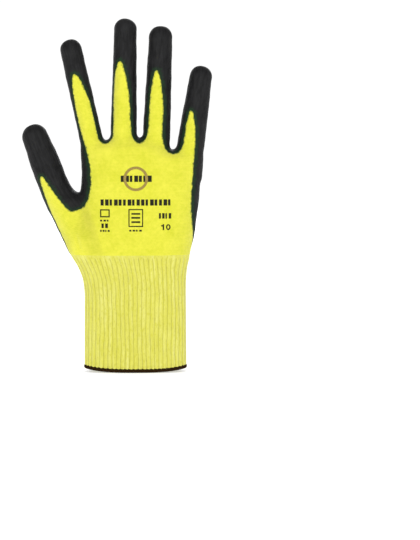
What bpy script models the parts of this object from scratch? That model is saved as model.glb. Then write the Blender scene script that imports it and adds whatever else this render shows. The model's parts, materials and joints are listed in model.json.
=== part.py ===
"""Cut-resistant knitted work glove, right hand, size 10, standing as it does when a hand fills it.

+Z runs from the wrist opening to the fingertips, -Y is the back of the hand, +Y is the palm and the
thumb is on the -X side. The origin is the centre of the wrist opening, level with the end of the hem.
The knitted liner is a hollow tube with five stalls. A dipped coating covers its palm side, its edges
and its fingertips, and leaves a window of bare knit on the back. Each stall is cut at its knuckles,
so that it can bend towards the palm about hinges that lie a little towards the palm side.
"""

import math

import bmesh
import bpy
from mathutils import Vector

MM = 0.001

# Walls and gaps
LINER_WALL = 1.1 * MM
CUFF_WALL = 1.6 * MM
COATING = 0.5 * MM
CLEARANCE = 0.3 * MM
COAT_INNER = CLEARANCE
COAT_OUTER = CLEARANCE + COATING

# Cuff and hem, measured along the arm
CUFF_TOP = 88.5 * MM
HEM_HEIGHT = 3.0 * MM
HEM_CHAMFER = 0.6 * MM
HEM_PROUD = 0.7 * MM
HEM_INSIDE = 2.0 * MM

# Elastic yarn laid inside the cuff
ELASTIC_RADIUS = 0.35 * MM
ELASTIC_TURNS = 5
ELASTIC_STEPS = 28
ELASTIC_LOW = 10.0 * MM
ELASTIC_PITCH = 14.0 * MM

# Knuckles
HINGE_DEPTH_SHARE = 0.45
KNUCKLE_GAP = 0.4 * MM
NOTCH_SPARE_DEG = 3.0
ROOT_FLEX_DEG = 70.0
MIDDLE_FLEX_DEG = 85.0
TIP_FLEX_DEG = 42.5
THUMB_ROOT_FLEX_DEG = 45.0
THUMB_TIP_FLEX_DEG = 60.0

# Cross-sections
STALL_SIDES = 18
HAND_SIDES = 40
STALL_DEPTH_SHARE = 0.93
STALL_POWER = 2.15
HAND_POWER = 2.6
THUMB_ROOT_POWER = 2.2
DOME_ANGLES_DEG = (28.0, 52.0, 74.0)
STUB_LENGTH = 30.0 * MM
FAR = 60.0 * MM

# The hand tube: height, thumb-side edge, little-finger edge and half depth
HAND_PROFILE = [
    [value * MM for value in row]
    for row in (
        (0.0, -37.4, 37.4, 14.6),
        (60.0, -37.3, 37.1, 14.6),
        (70.0, -38.5, 37.2, 14.7),
        (80.0, -42.2, 37.6, 14.9),
        (88.5, -47.0, 39.4, 15.1),
        (96.0, -50.6, 41.2, 15.1),
        (104.0, -48.0, 43.2, 15.0),
        (135.0, -40.8, 46.9, 14.2),
        (155.0, -40.2, 49.3, 13.0),
        (167.0, -38.0, 48.6, 11.6),
        (172.5, -34.0, 44.0, 8.6),
        (174.6, -30.0, 40.0, 4.4),
    )
]
WEB_TILT_FROM = 155.0 * MM
WEB_DROP = 7.8 * MM
WEB_DROP_START = 5.0 * MM
WEB_DROP_END = 28.0 * MM

# The ball of the thumb: centre x, centre z, lean from +Z, half width, half depth, shift to the palm
THUMB_ROOT_PROFILE = (
    (-31.0, 91.0, 0.0, 13.0, 10.5, 0.5),
    (-39.6, 107.0, -27.0, 14.6, 13.6, 2.0),
    (-50.8, 124.0, -24.0, 13.2, 12.2, 1.6),
    (-60.75, 139.5, -20.9, 10.8, 10.0, 0.0),
    (-63.6, 147.0, -20.9, 10.7, 9.95, 0.0),
)

# The window of bare knit on the back, as (x, z) round its edge from the wrist on the thumb side
BACK_WINDOW = (
    (-60.0, 30.0), (-60.0, 88.0), (-48.5, 91.0), (-60.0, 113.0), (-69.0, 135.8), (-71.0, 143.0),
    (-70.2, 147.8), (-66.8, 143.2), (-56.2, 128.2), (-49.5, 118.5), (-38.2, 124.0), (-34.0, 132.0),
    (-33.0, 149.0), (-36.5, 167.0), (-43.5, 192.0), (-46.5, 214.0), (-45.0, 222.7), (-41.2, 218.0),
    (-36.0, 207.0), (-32.0, 190.0), (-27.0, 174.0), (-21.9, 170.3), (-18.0, 174.0), (-16.5, 184.0),
    (-16.5, 207.0), (-15.0, 225.0), (-11.3, 233.6), (-7.8, 224.0), (-4.5, 207.0), (-4.5, 184.0),
    (-1.5, 174.0), (3.2, 170.5), (8.0, 174.0), (10.5, 184.0), (10.8, 200.0), (13.3, 217.0),
    (16.0, 226.2), (18.9, 217.0), (21.0, 200.0), (19.8, 175.0), (22.0, 167.5), (28.5, 162.6),
    (33.0, 165.5), (37.3, 176.0), (39.2, 188.0), (42.0, 195.8), (44.2, 187.0), (45.0, 177.0),
    (43.4, 158.0), (41.6, 135.0), (41.4, 112.0), (42.4, 98.0), (52.0, 92.0), (52.0, 30.0),
)

# The lower edge of the coating on the palm dips to its lowest point towards the little finger
PALM_EDGE_LOW = (7.5 * MM, 43.5 * MM)
PALM_EDGE_ENDS = (37.4 * MM, 16.5 * MM, 23.0 * MM)
PALM_EDGE_POWERS = (1.7, 2.6)
PALM_EDGE_STEPS = 14

PALM_SIDE = Vector((0.0, 1.0, 0.0))
ORIGIN = Vector((0.0, 0.0, 0.0))


class Stall:
    """One finger or thumb stall: a straight tapered tube with a domed end, hinged at its knuckles."""

    def __init__(self, name, root, lean_deg, hinges, length, half_widths, flex_deg, segments):
        lean = math.radians(lean_deg)
        self.name = name
        self.root = Vector((root[0] * MM, 0.0, root[1] * MM))
        self.along = Vector((math.sin(lean), 0.0, math.cos(lean)))
        self.across = Vector((math.cos(lean), 0.0, -math.sin(lean)))
        self.hinges = [station * MM for station in hinges]
        self.length = length * MM
        self.half_widths = [width * MM for width in half_widths]
        self.flex_deg = flex_deg
        self.segments = segments

    def half_width(self, station):
        """Half width of the liner at a station along the stall."""
        root, middle, tip = self.half_widths
        share = min(max(station / (self.length - tip), 0.0), 1.0)
        if share < 0.5:
            return root + (middle - root) * share * 2.0
        return middle + (tip - middle) * (share * 2.0 - 1.0)

    def point(self, station, x=0.0, y=0.0):
        return self.root + self.along * station + self.across * x + PALM_SIDE * y

    def hinge_depth(self, station):
        return self.half_width(station) * STALL_DEPTH_SHARE * HINGE_DEPTH_SHARE

    def hinge_point(self, index):
        station = self.hinges[index]
        return self.point(station, y=self.hinge_depth(station))

    def sections(self, grow, start):
        """Rings from a station before the root hinge to the end of the dome."""
        dome = self.half_widths[-1]
        dome_start = self.length - dome
        stations = [start, 0.0, dome_start * 0.33, dome_start * 0.66, dome_start]
        rings = []
        for station in stations:
            half_width = self.half_width(station)
            rings.append(self.ring(station, half_width, grow, 1.0))
        for angle_deg in DOME_ANGLES_DEG:
            angle = math.radians(angle_deg)
            station = dome_start + (dome + grow) * math.sin(angle)
            rings.append(self.ring(station, dome, grow, math.cos(angle)))
        return rings

    def ring(self, station, half_width, grow, share):
        depth = half_width * STALL_DEPTH_SHARE
        return oval(self.point(station), self.across, (half_width + grow) * share,
                    (depth + grow) * share, STALL_POWER, STALL_SIDES)


FINGER_FLEX = (ROOT_FLEX_DEG, MIDDLE_FLEX_DEG, TIP_FLEX_DEG)
THUMB_FLEX = (THUMB_ROOT_FLEX_DEG, THUMB_TIP_FLEX_DEG)
FINGER_PARTS = ("base", "mid", "tip")
THUMB_PARTS = ("base", "tip")
FINGERS = (
    Stall("index", (-34.4, 182.0), -12.7, (0.0, 21.5, 44.0), 69.1, (8.0, 7.9, 7.6),
          FINGER_FLEX, FINGER_PARTS),
    Stall("middle", (-8.5, 184.5), 1.0, (0.0, 24.0, 51.5), 80.9, (9.3, 8.7, 7.9),
          FINGER_FLEX, FINGER_PARTS),
    Stall("ring", (16.3, 184.0), 2.5, (0.0, 22.5, 48.0), 75.8, (9.7, 9.0, 8.4),
          FINGER_FLEX, FINGER_PARTS),
    Stall("little", (42.3, 174.4), 8.4, (0.0, 17.5, 35.0), 55.8, (9.7, 9.0, 7.8),
          FINGER_FLEX, FINGER_PARTS),
)
THUMB = Stall("thumb", (-60.75, 139.5), -20.9, (0.0, 20.0), 49.1, (10.7, 10.6, 9.1),
              THUMB_FLEX, THUMB_PARTS)
STALLS = FINGERS + (THUMB,)


def material(name, colour, roughness, metallic=0.0):
    made = bpy.data.materials.new(name)
    made.use_nodes = True
    shader = made.node_tree.nodes["Principled BSDF"]
    shader.inputs["Base Color"].default_value = (*colour, 1.0)
    shader.inputs["Roughness"].default_value = roughness
    shader.inputs["Metallic"].default_value = metallic
    made.diffuse_color = (*colour, 1.0)
    return made


def new_object(name, mesh):
    made = bpy.data.objects.new(name, mesh)
    bpy.context.scene.collection.objects.link(made)
    return made


def solid_from(bm, name):
    bmesh.ops.recalc_face_normals(bm, faces=bm.faces)
    mesh = bpy.data.meshes.new(name)
    bm.to_mesh(mesh)
    bm.free()
    return new_object(name, mesh)


def oval(centre, across, half_width, half_depth, power, sides):
    """A ring of points on a superellipse spanned by across and the palm side."""
    points = []
    for k in range(sides):
        angle = 2.0 * math.pi * k / sides
        c, s = math.cos(angle), math.sin(angle)
        x = half_width * math.copysign(abs(c) ** (2.0 / power), c)
        y = half_depth * math.copysign(abs(s) ** (2.0 / power), s)
        points.append(centre + across * x + PALM_SIDE * y)
    return points


def loft(name, rings):
    """A closed solid through rings that have the same number of points, with fans on both ends."""
    bm = bmesh.new()
    rows = [[bm.verts.new(point) for point in ring] for ring in rings]
    count = len(rows[0])
    for low, high in zip(rows, rows[1:]):
        for k in range(count):
            nxt = (k + 1) % count
            bm.faces.new((low[k], low[nxt], high[nxt], high[k]))
    for row in (rows[0], rows[-1]):
        centre = bm.verts.new(sum((v.co for v in row), Vector()) / count)
        for k in range(count):
            bm.faces.new((row[k], row[(k + 1) % count], centre))
    return solid_from(bm, name)


def prism(name, outline, shift):
    """A closed solid swept from an outline by the vector shift."""
    bm = bmesh.new()
    near = [bm.verts.new(point) for point in outline]
    far = [bm.verts.new(point + shift) for point in outline]
    bm.faces.new(near)
    bm.faces.new(far)
    for k in range(len(near)):
        nxt = (k + 1) % len(near)
        bm.faces.new((near[k], near[nxt], far[nxt], far[k]))
    return solid_from(bm, name)


def combine(target, other, operation):
    """Applies a Boolean of target with other, and removes other."""
    boolean = target.modifiers.new(operation.title(), "BOOLEAN")
    boolean.operation = operation
    boolean.solver = "EXACT"
    boolean.object = other
    graph = bpy.context.evaluated_depsgraph_get()
    target_mesh = bpy.data.meshes.new_from_object(target.evaluated_get(graph))
    target.modifiers.clear()
    target.data = target_mesh
    bpy.data.objects.remove(other)
    return target


def hand_section(height):
    """Thumb-side edge, little-finger edge and half depth of the hand tube at a height."""
    for low, high in zip(HAND_PROFILE, HAND_PROFILE[1:]):
        if height <= high[0]:
            share = max(height - low[0], 0.0) / (high[0] - low[0])
            return [a + (b - a) * share for a, b in zip(low[1:], high[1:])]
    return HAND_PROFILE[-1][1:]


def web_height(height, x):
    """The top of the hand tube falls away towards the little finger, where the web is lower."""
    top = HAND_PROFILE[-1][0]
    if height <= WEB_TILT_FROM:
        return height
    share = min(max((x - WEB_DROP_START) / (WEB_DROP_END - WEB_DROP_START), 0.0), 1.0)
    drop = WEB_DROP * share * share * (3.0 - 2.0 * share)
    return height - drop * (height - WEB_TILT_FROM) / (top - WEB_TILT_FROM)


def hand_ring(height, grow):
    left, right, half_depth = hand_section(height)
    centre = Vector(((left + right) / 2.0, 0.0, height))
    across = Vector((1.0, 0.0, 0.0))
    ring = oval(centre, across, (right - left) / 2.0 + grow, half_depth + grow, HAND_POWER,
                HAND_SIDES)
    return [Vector((p.x, p.y, web_height(p.z, p.x))) for p in ring]


def hand_tube(name, grow, low, high=None):
    """The hand tube from a low height to a high one, or to the webs between the fingers."""
    heights = [row[0] for row in HAND_PROFILE if low < row[0] and (high is None or row[0] < high)]
    rings = [hand_ring(low, grow)] + [hand_ring(height, grow) for height in heights]
    if high is not None:
        rings.append(hand_ring(high, grow))
    elif grow != 0.0:
        rings[-1] = [Vector((p.x, p.y, p.z + grow)) for p in rings[-1]]
    return loft(name, rings)


def thumb_root(name, grow):
    """The ball of the thumb, from inside the hand tube to just past the thumb's root hinge."""
    rings = []
    for x, z, lean_deg, half_width, half_depth, shift in THUMB_ROOT_PROFILE:
        lean = math.radians(lean_deg)
        across = Vector((math.cos(lean), 0.0, -math.sin(lean)))
        centre = Vector((x * MM, shift * MM, z * MM))
        rings.append(oval(centre, across, half_width * MM + grow, half_depth * MM + grow,
                          THUMB_ROOT_POWER, STALL_SIDES))
    return loft(name, rings)


def stall_block(stall, from_hinge, to_hinge):
    """A block that keeps one part of a stall, with a notch on the palm side of each hinge.

    A hinge of None leaves that end open: below the root, or beyond the fingertip.
    """
    half_gap = KNUCKLE_GAP / 2.0

    def end(index, way):
        if index is None:
            station = -FAR if way > 0 else stall.length + FAR
            return [(station, -FAR), (station, FAR)]
        station = stall.hinges[index]
        depth = stall.hinge_depth(station)
        slope = math.tan(math.radians((stall.flex_deg[index] + NOTCH_SPARE_DEG) / 2.0))
        near = station + way * half_gap
        return [(near, -FAR), (near, depth), (near + way * (FAR - depth) * slope, FAR)]

    profile = end(from_hinge, 1) + list(reversed(end(to_hinge, -1)))
    if from_hinge is not None and to_hinge is not None:
        profile = trim_crossing(profile)
    outline = [stall.point(station, x=-FAR, y=y) for station, y in profile]
    return prism("block", outline, stall.across * 2.0 * FAR)


def trim_crossing(profile):
    """Two notches that would cross below the palm side are cut off where they meet."""
    (a0, a1, a2), (b2, b1, b0) = profile[:3], profile[3:]
    slope_a = (a2[0] - a1[0]) / (a2[1] - a1[1])
    slope_b = (b2[0] - b1[0]) / (b2[1] - b1[1])
    meet = ((b1[0] - slope_b * b1[1]) - (a1[0] - slope_a * a1[1])) / (slope_a - slope_b)
    if meet >= a2[1]:
        return profile
    return [a0, a1, (a1[0] + slope_a * (meet - a1[1]), meet), b1, b0]


def skin(name, outer, inner):
    """What is left of outer when inner is cut from it."""
    outer.name = name
    return combine(outer, inner, "DIFFERENCE")


def stub(stall, grow):
    """The part of a stall below its root hinge, from well inside the hand tube."""
    tube = loft("stub", stall.sections(grow, -STUB_LENGTH))
    return combine(tube, stall_block(stall, None, 0), "INTERSECT")


def hand_form(name, grow, low, trimmed):
    """The hand tube with its stalls: cut off at the root hinges when trimmed, or running on."""
    form = hand_tube(name, grow, low)
    root = thumb_root("thumb_root", grow)
    if trimmed:
        root = combine(root, stall_block(THUMB, None, 0), "INTERSECT")
    combine(form, root, "UNION")
    for stall in FINGERS:
        if trimmed:
            tube = stub(stall, grow)
        else:
            tube = loft("tube", stall.sections(grow, -STUB_LENGTH))
        combine(form, tube, "UNION")
    if not trimmed:
        combine(form, loft("tube", THUMB.sections(grow, -STUB_LENGTH / 5.0)), "UNION")
    return form


def back_window():
    """A cutter the shape of the bare back, on the back half of the glove only."""
    outline = [Vector((x * MM, -FAR, z * MM)) for x, z in BACK_WINDOW]
    return prism("window", outline, PALM_SIDE * FAR)


def palm_edge_height(x):
    """Height of the coating's lower edge on the palm."""
    low_x, low_z = PALM_EDGE_LOW
    end_x, thumb_rise, little_rise = PALM_EDGE_ENDS
    if x < low_x:
        return low_z + thumb_rise * ((low_x - x) / (low_x + end_x)) ** PALM_EDGE_POWERS[0]
    return low_z + little_rise * ((x - low_x) / (end_x - low_x)) ** PALM_EDGE_POWERS[1]


def below_palm_edge():
    """A cutter for everything below the coating's lower edge."""
    end_x = PALM_EDGE_ENDS[0] + 2.0 * MM
    xs = [-end_x + 2.0 * end_x * k / PALM_EDGE_STEPS for k in range(PALM_EDGE_STEPS + 1)]
    outline = [Vector((x, -FAR, palm_edge_height(x))) for x in xs]
    outline += [Vector((end_x, -FAR, 0.0)), Vector((-end_x, -FAR, 0.0))]
    return prism("below_edge", outline, PALM_SIDE * 2.0 * FAR)


def build_hand(materials):
    """The pieces that don't bend: liner of the hand, its coating, cuff, hem and elastic yarn."""
    liner = skin("palm_liner", hand_form("outer", 0.0, CUFF_TOP + CLEARANCE / 2.0, True),
                 hand_form("inner", -LINER_WALL, CUFF_TOP - 10.0 * MM, False))
    coat_low = PALM_EDGE_LOW[1] - 2.0 * MM
    coating = skin("palm_coating", hand_form("outer", COAT_OUTER, coat_low, True),
                   hand_form("inner", COAT_INNER, coat_low - 2.0 * MM, False))
    combine(coating, back_window(), "DIFFERENCE")
    combine(coating, below_palm_edge(), "DIFFERENCE")
    cuff = skin("cuff", hand_tube("outer", 0.0, HEM_HEIGHT + CLEARANCE, CUFF_TOP - CLEARANCE / 2.0),
                hand_tube("inner", -CUFF_WALL, 1.0 * MM, CUFF_TOP + 1.0 * MM))
    hem = build_hem()
    elastic = build_elastic()
    for piece, finish in ((liner, "knit"), (coating, "coating"), (cuff, "rib_knit"),
                          (hem, "hem_thread"), (elastic, "elastic")):
        piece.data.materials.append(materials[finish])
    return [liner, coating, cuff, hem, elastic]


def build_hem():
    """The overlocked edge: a ring that grips the end of the cuff, flat where it ends."""
    rings = []
    for height, proud in ((0.0, HEM_PROUD - HEM_CHAMFER), (HEM_CHAMFER, HEM_PROUD),
                          (HEM_HEIGHT - HEM_CHAMFER, HEM_PROUD),
                          (HEM_HEIGHT, HEM_PROUD - HEM_CHAMFER)):
        rings.append(hand_ring(height, proud))
    below = [Vector((p.x, p.y, -1.0 * MM)) for p in hand_ring(0.0, -HEM_INSIDE)]
    above = hand_ring(HEM_HEIGHT + 1.0 * MM, -HEM_INSIDE)
    return skin("cuff_hem", loft("outer", rings), loft("inner", [below, above]))


def build_elastic():
    """One elastic yarn that winds up the inside of the cuff."""
    inset = CUFF_WALL + CLEARANCE + ELASTIC_RADIUS
    curve = bpy.data.curves.new("cuff_elastic", "CURVE")
    curve.dimensions = "3D"
    curve.bevel_depth = ELASTIC_RADIUS
    curve.bevel_resolution = 0
    curve.use_fill_caps = True
    spline = curve.splines.new("POLY")
    count = ELASTIC_TURNS * ELASTIC_STEPS
    spline.points.add(count)
    for k in range(count + 1):
        height = ELASTIC_LOW + ELASTIC_PITCH * k / ELASTIC_STEPS
        left, right, half_depth = hand_section(height)
        angle = 2.0 * math.pi * k / ELASTIC_STEPS
        c, s = math.cos(angle), math.sin(angle)
        half_width = (right - left) / 2.0 - inset
        x = (left + right) / 2.0 + half_width * math.copysign(abs(c) ** (2.0 / HAND_POWER), c)
        y = (half_depth - inset) * math.copysign(abs(s) ** (2.0 / HAND_POWER), s)
        spline.points[k].co = (x, y, height, 1.0)
    return new_object("cuff_elastic", curve)


def build_stall(stall, materials):
    """The liner and the coating of each part of a stall, as (part name, pieces)."""
    made = []
    last = len(stall.segments) - 1
    for index, part in enumerate(stall.segments):
        to_hinge = None if index == last else index + 1
        pieces = []
        for kind, outer_grow, inner_grow, finish in (
                ("stall", 0.0, -LINER_WALL, "knit"),
                ("coating", COAT_OUTER, COAT_INNER, "coating")):
            name = f"{stall.name}_{part}_{kind}"
            tube = loft("outer", stall.sections(outer_grow, -STUB_LENGTH / 2.0))
            piece = skin(name, tube, loft("inner", stall.sections(inner_grow, -STUB_LENGTH)))
            combine(piece, stall_block(stall, index, to_hinge), "INTERSECT")
            if kind == "coating":
                combine(piece, back_window(), "DIFFERENCE")
            piece.data.materials.append(materials[finish])
            pieces.append(piece)
        made.append((part, pieces))
    return made


def hang(pieces, point, parent, name):
    """Puts an empty on a hinge, under its parent, and hangs the pieces from it."""
    hinge = new_object(name, None)
    hinge.empty_display_size = 8.0 * MM
    origin = parent["place"] if parent else ORIGIN
    if parent:
        hinge.parent = parent["empty"]
    hinge.location = point - origin
    for piece in pieces:
        if piece.type == "MESH":
            for vertex in piece.data.vertices:
                vertex.co -= point
        piece.parent = hinge
    return {"empty": hinge, "place": point}


def shade(piece):
    piece.data.shade_smooth()
    piece.data.set_sharp_from_angle(angle=math.radians(40.0))


def main():
    for old in list(bpy.data.objects):
        bpy.data.objects.remove(old)
    materials = {
        "knit": material("yellow_knit", (0.86, 0.83, 0.07), 0.85),
        "rib_knit": material("pale_rib_knit", (0.77, 0.76, 0.15), 0.85),
        "coating": material("black_coating", (0.022, 0.022, 0.022), 0.5),
        "hem_thread": material("brown_hem_thread", (0.045, 0.027, 0.012), 0.8),
        "elastic": material("elastic_yarn", (0.75, 0.72, 0.6), 0.6),
    }
    hand_pieces = build_hand(materials)
    hand = hang(hand_pieces, ORIGIN, None, "hand_frame")
    meshes = [piece for piece in hand_pieces if piece.type == "MESH"]
    for stall in STALLS:
        parent = hand
        for index, (part, pieces) in enumerate(build_stall(stall, materials)):
            parent = hang(pieces, stall.hinge_point(index), parent,
                          f"{stall.name}_{part}_hinge")
            meshes += pieces
    for piece in meshes:
        shade(piece)


main()
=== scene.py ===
"""Looks of the cut-resistant glove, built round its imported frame.

Lengths are in millimetres until a mesh is made, and in metres after that. The frame has +Z towards
the fingertips, -Y out of the back of the hand, +Y out of the palm and the thumb on the -X side.

The knit is one smooth form: the hand tube, four finger stalls and the thumb, melted together at the
webs. The form is meshed once, settled on its surface and cut where the frame's bodies meet. Each cut
piece becomes a closed shell of knit, and where the dip covers it, a second thin shell of coating.
"""

import itertools
import json
import math

import bpy
import numpy as np
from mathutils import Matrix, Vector


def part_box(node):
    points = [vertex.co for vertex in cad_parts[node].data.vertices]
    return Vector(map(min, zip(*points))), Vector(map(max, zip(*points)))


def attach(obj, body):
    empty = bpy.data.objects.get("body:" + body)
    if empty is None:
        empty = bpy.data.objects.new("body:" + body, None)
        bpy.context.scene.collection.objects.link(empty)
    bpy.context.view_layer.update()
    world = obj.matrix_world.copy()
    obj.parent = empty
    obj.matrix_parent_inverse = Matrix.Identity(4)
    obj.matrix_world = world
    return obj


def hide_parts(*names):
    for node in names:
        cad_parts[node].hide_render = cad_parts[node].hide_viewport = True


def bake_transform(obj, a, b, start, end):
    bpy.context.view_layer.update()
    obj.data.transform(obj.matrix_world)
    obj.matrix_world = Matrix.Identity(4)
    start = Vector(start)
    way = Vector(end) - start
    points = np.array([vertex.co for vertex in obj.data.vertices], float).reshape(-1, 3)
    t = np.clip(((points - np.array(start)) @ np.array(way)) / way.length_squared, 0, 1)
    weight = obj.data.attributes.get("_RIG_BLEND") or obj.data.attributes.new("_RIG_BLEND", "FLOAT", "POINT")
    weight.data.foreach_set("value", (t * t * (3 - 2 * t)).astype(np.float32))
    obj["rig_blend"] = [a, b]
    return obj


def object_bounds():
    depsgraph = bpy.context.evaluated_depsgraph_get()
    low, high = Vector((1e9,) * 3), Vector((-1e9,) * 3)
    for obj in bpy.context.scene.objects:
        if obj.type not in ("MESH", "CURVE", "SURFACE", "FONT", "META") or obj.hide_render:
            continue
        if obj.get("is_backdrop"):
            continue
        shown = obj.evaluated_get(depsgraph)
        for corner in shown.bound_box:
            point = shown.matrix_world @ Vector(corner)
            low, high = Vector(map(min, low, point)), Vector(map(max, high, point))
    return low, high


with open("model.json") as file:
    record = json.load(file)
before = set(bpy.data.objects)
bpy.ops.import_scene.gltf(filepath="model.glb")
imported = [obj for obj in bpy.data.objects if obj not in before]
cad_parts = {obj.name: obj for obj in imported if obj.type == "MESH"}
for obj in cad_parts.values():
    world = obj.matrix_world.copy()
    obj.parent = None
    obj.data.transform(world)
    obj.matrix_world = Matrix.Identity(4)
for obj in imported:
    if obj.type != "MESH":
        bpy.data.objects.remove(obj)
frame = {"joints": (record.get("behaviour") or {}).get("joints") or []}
cad_low, cad_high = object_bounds()
MM = 0.001

# Form of the hand tube: height, thumb-side edge, little-finger edge, half depth
HAND_PROFILE = (
    (0.0, -37.9, 37.9, 14.6),
    (60.0, -37.8, 37.6, 14.6),
    (70.0, -38.9, 37.7, 14.7),
    (80.0, -43.0, 38.8, 14.9),
    (88.5, -48.8, 41.2, 15.1),
    (96.0, -52.6, 42.4, 15.2),
    (104.0, -52.0, 44.1, 15.1),
    (120.0, -42.0, 46.2, 14.8),
    (135.0, -40.6, 48.0, 14.3),
    (155.0, -39.4, 48.9, 13.2),
    (167.0, -39.6, 49.2, 12.0),
    (176.0, -37.0, 46.0, 10.8),
)
PROFILE_STEP = 0.5
PROFILE_BLUR = 2.5
HAND_POWER = 2.6
WEB_HEIGHT = 174.8
WEB_DROP = 7.6
WEB_DROP_FROM = 5.0
WEB_DROP_TO = 27.0
WEB_ROUNDING = 10.0

# Half widths of the stalls at their root, halfway and where the dome starts
STALL_HALF_WIDTHS = {
    "index": (8.1, 7.9, 7.6),
    "middle": (9.3, 8.6, 7.9),
    "ring": (9.7, 9.0, 8.3),
    "little": (9.8, 9.0, 7.8),
    "thumb": (10.7, 10.7, 9.1),
}
STALL_DEPTH_SHARE = 0.93
STALL_POWER = 2.15
STALL_BELOW_ROOT = 26.0
# The ball of the thumb below its root knuckle: station, half width, sideways offset, shift to palm
THUMB_BALL = (
    (-56.0, 13.0, 9.8, 0.5),
    (-38.0, 15.3, 7.4, 1.8),
    (-18.0, 13.4, 3.9, 1.4),
    (-7.0, 11.1, 0.6, 0.5),
)
THUMB_CAP = 4.0
THUMB_FADE_HEIGHT = 104.0
THUMB_FADE_RATE = 0.04
# The fold's upper and lower end on the back of the hand, as (x, z)
CREASE_ENDS = ((-45.5, 108.0), (-40.5, 89.5))
CREASE_WIDTH = 1.5
CREASE_DEPTH = 0.7
CREASE_EASE = (0.4, 0.2)
WEB_MELT = 5.5
THUMB_MELT = 6.0
# Slight waves of the knit and of the dip's edge: height, slopes along X, Y and Z, and phase
RIPPLE_WAVES = (
    (0.05, 0.30, 0.0, -0.08, 1.3 + math.pi / 2.0),
    (-0.05, 0.16, 0.0, 0.30, 1.3 + math.pi / 2.0),
    (0.07, 0.47, 0.4, -0.31, 0.0),
    (0.05, 0.0, 0.6, 0.83, 0.0),
)
RIPPLE_FADE = 8.0
FRINGE_WAVES = (
    (0.104, 1.71, 0.0, 0.63, 0.0),
    (0.104, -0.83, 0.0, 1.27, 1.0),
    (0.078, 1.13, 0.5, 2.09, 0.0),
    (0.13, 0.31, 0.0, 0.57, 0.0),
    (0.091, -1.61, 0.0, 0.93, 0.0),
)

# Walls
LINER_WALL = 1.1
CUFF_WALL = 1.6
COATING = 0.5
COATING_EDGE = 0.06
COATING_SUNK = 0.12
COATING_SLOPE = 1.6

# The window of bare knit on the back, as (x, z) round its edge from the wrist on the thumb side
BACK_WINDOW = (
    (-66.0, -10.0), (-66.0, 88.0), (-65.0, 104.0), (-63.4, 113.0), (-65.4, 124.5),
    (-69.0, 136.0), (-71.2, 143.0), (-70.6, 148.6), (-66.8, 143.0), (-61.6, 136.0),
    (-56.2, 128.4), (-52.8, 124.4), (-48.4, 120.2), (-41.0, 122.6), (-36.7, 126.0),
    (-34.4, 132.0), (-33.0, 140.0), (-32.8, 149.0), (-34.4, 161.0), (-37.2, 170.0),
    (-40.9, 179.0), (-44.0, 192.0), (-46.0, 205.0), (-47.5, 215.0), (-46.2, 226.0),
    (-40.8, 219.0), (-36.6, 210.0), (-33.4, 203.0), (-30.9, 191.0), (-28.4, 181.0),
    (-27.2, 174.4), (-21.9, 170.8), (-18.0, 175.0), (-16.5, 184.0), (-17.3, 200.0),
    (-17.2, 212.0), (-16.4, 223.0), (-11.4, 236.8), (-7.2, 223.0), (-5.4, 212.0),
    (-4.2, 200.0), (-3.8, 184.0), (-1.6, 174.4), (3.2, 171.0), (8.0, 175.0), (10.5, 185.0),
    (10.6, 197.0), (12.0, 211.0), (13.8, 222.0), (16.2, 228.4), (18.6, 221.0), (20.0, 209.0),
    (21.0, 197.0), (19.6, 184.0), (20.4, 172.0), (23.4, 166.0), (28.5, 163.4), (33.6, 165.6),
    (36.8, 172.0), (38.2, 184.0), (39.8, 192.0), (42.1, 198.2), (43.8, 191.0), (44.8, 178.0),
    (44.2, 168.0), (42.9, 152.0), (41.4, 132.0), (41.6, 118.0), (43.0, 108.0), (46.0, 99.0),
    (54.0, 95.0), (54.0, -10.0),
)
WINDOW_GROW = 0.5
EDGE_ROUNDING = 6.0
# The dip's edge on the sides: its depth on the cuff and on the hand, and the heights between
# which it changes on the thumb's side and on the little finger's
SIDE_EDGE_DEPTHS = (2.5, -2.6)
SIDE_EDGE_CHANGE = ((83.0, 96.0), (88.0, 104.0))
SIDE_WRAP = 0.6
SIDE_WRAP_FROM = -7.0

# The lower edge of the coating on the palm dips to its lowest point towards the little finger
PALM_EDGE_LOW = (7.5, 43.5)
PALM_EDGE_REACH = 37.4
PALM_EDGE_RISE = (16.5, 23.0)
PALM_EDGE_POWERS = (1.7, 2.6)

# Knit and ribs
WALE = 1.5
COURSE = 1.15
KNIT_WRAP = 0.55
KNIT_WRAP_POWER = 8
KNIT_EASE = 9.0
STITCH_LEG = 0.42
STITCH_SLANT = 0.75
STITCH_LOOP = 0.3
RIBS = 56
RIB_COLUMNS = 10
RIB_RELIEF = 0.6
RIB_CREST = 0.45
RIB_FADE = 3.0
RIB_PALM_FADE = 4.0
RIB_FILL = 0.1
RIB_EDGE_WAVE = 0.9
RIB_SPREAD = 0.18
RIB_STRENGTHS = (0.4, 1.5)
# Waves over the cuff: height, slope up the cuff and number round it
RIB_DRIFTS = ((0.10, 0.09, 3.0), (0.05, 0.31, 7.0))
RIB_UNEVEN = (0.25, 0.31, 5.0)
PALM_SIDE_REACH = 10.0
CUFF_ROW = 1.1
CUFF_FOOT = 1.2

# Hem, sewn over the cuff's end; it rises a little at the two side edges
HEM_MIDDLE = 1.75
HEM_HALF_HEIGHT = 1.6
HEM_HALF_THICKNESS = 1.35
HEM_RISE = 2.4
HEM_RISE_REACH = 37.0
HEM_RISE_FADE = 30.0
HEM_SIDES = 14
HEM_LOOPS = 118
HEM_LOOP_STEPS = 9
HEM_LOOP_RELIEF = 0.28
STRAND_POWER = 0.6

# Elastic yarn inside the cuff
ELASTIC_RADIUS = 0.35
ELASTIC_TURNS = 5
ELASTIC_STEPS = 240
ELASTIC_SIDES = 8
ELASTIC_INSET = 2.25
ELASTIC_WRAP_STEPS = 2
ELASTIC_RELIEF = 0.06

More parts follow.
